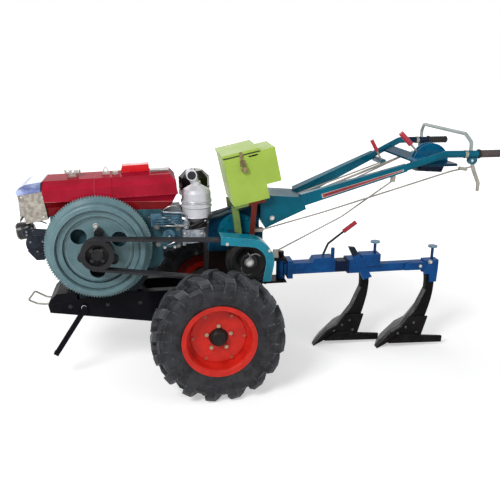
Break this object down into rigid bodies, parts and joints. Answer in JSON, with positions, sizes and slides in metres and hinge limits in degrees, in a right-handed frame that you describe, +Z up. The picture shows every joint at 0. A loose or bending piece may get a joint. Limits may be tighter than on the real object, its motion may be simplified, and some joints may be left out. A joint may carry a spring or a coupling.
{
  "type": "two-wheel walking tractor with two-furrow plough",
  "caption": "Single-axle walking tractor with a belt-driven diesel engine ahead of the wheels, long steering handles, a tool box and a trailed mouldboard plough.",
  "frame": {"origin": "on the ground, at the middle of the machine's length and width", "axes": "+X forward along the machine, +Y to its left side, +Z up"},
  "size_m": [2.3419, 0.944, 1.235],
  "materials": {
    "tyre_rubber": "matte",
    "wheel_red": "gloss",
    "hub_black": "satin",
    "frame_black": "satin",
    "engine_grey": "satin",
    "head_blue": "satin",
    "cast_alloy": "satin",
    "exhaust_black": "matte",
    "silver_paint": "satin",
    "black_plastic": "matte",
    "radiator_grey": "satin",
    "chrome_blue": "polished",
    "hood_red": "gloss",
    "bright_steel": "satin",
    "flywheel_green": "satin",
    "pulley_iron": "satin",
    "belt_rubber": "matte",
    "teal_paint": "gloss",
    "case_dark": "satin",
    "grip_grey": "matte",
    "hoop_grey": "gloss",
    "green_paint": "gloss",
    "blue_paint": "gloss",
    "share_black": "satin",
    "board_steel": "satin",
    "lever_red": "gloss"
  },
  "bodies": {
    "chassis": {"chassis_frame": "frame_black", "front_bracket": "frame_black", "front_loop": "bright_steel", "engine_block": "engine_grey", "cylinder_head": "head_blue", "rocker_cover": "cast_alloy", "exhaust_manifold": "exhaust_black", "muffler": "silver_paint", "air_filter": "black_plastic", "radiator": "radiator_grey", "nose_cover": "chrome_blue", "hood": "hood_red", "hood_fittings": "bright_steel", "starter_motor": "frame_black", "headlamp": "black_plastic", "belts": "belt_rubber", "belt_guard": "teal_paint", "gearbox": "case_dark", "handle_base": "teal_paint", "handle_arms": "teal_paint", "grips": "grip_grey", "cross_hoop": "hoop_grey", "quadrant": "teal_paint", "clutch_lever": "lever_red", "speed_lever": "lever_red", "steering_gear": "bright_steel", "toolbox_body": "green_paint", "toolbox_leg": "green_paint", "hitch": "frame_black"},
    "wheel_left": {"tyre_left": "tyre_rubber", "rim_left": "wheel_red", "hub_left": "hub_black"},
    "wheel_right": {"tyre_right": "tyre_rubber", "rim_right": "wheel_red", "hub_right": "hub_black"},
    "flywheel": {"flywheel": "flywheel_green", "crank_pulley": "pulley_iron"},
    "clutch_pulley": {"clutch_pulley": "pulley_iron"},
    "lid": {"toolbox_lid": "green_paint"},
    "stand": {"front_stand": "frame_black"},
    "plough": {"plough_beam": "blue_paint", "plough_shanks": "share_black", "plough_shares": "share_black", "moldboards": "board_steel", "plough_controls": "blue_paint"}
  },
  "joints": [
    {"name": "left_wheel", "type": "hinge", "parent": "chassis", "child": "wheel_left", "pos_m": [0.234, 0.39, 0.32], "axis": [0, 1, 0], "continuous": true},
    {"name": "right_wheel", "type": "hinge", "parent": "chassis", "child": "wheel_right", "pos_m": [0.234, -0.39, 0.32], "axis": [0, 1, 0], "continuous": true},
    {"name": "flywheel_turn", "type": "hinge", "parent": "chassis", "child": "flywheel", "pos_m": [0.774, 0.2, 0.712], "axis": [0, 1, 0], "continuous": true},
    {"name": "clutch_pulley_turn", "type": "hinge", "parent": "chassis", "child": "clutch_pulley", "pos_m": [0.069, 0.257, 0.642], "axis": [0, 1, 0], "continuous": true},
    {"name": "lid_hinge", "type": "hinge", "parent": "chassis", "child": "lid", "pos_m": [0.08279, -0.15, 1.13692], "axis": [0.977, 0, -0.213], "range_deg": [0, 100]},
    {"name": "stand_pivot", "type": "hinge", "parent": "chassis", "child": "stand", "pos_m": [0.866, 0.13, 0.393], "axis": [0, 1, 0], "range_deg": [0, 85]},
    {"name": "plough_swing", "type": "hinge", "parent": "chassis", "child": "plough", "pos_m": [-0.148, 0, 0.507], "axis": [0, 0, 1], "range_deg": [-8, 8]}
  ],
  "couplings": [
    {"joint": "clutch_pulley_turn", "follows": "flywheel_turn", "ratio": 0.7037}
  ]
}
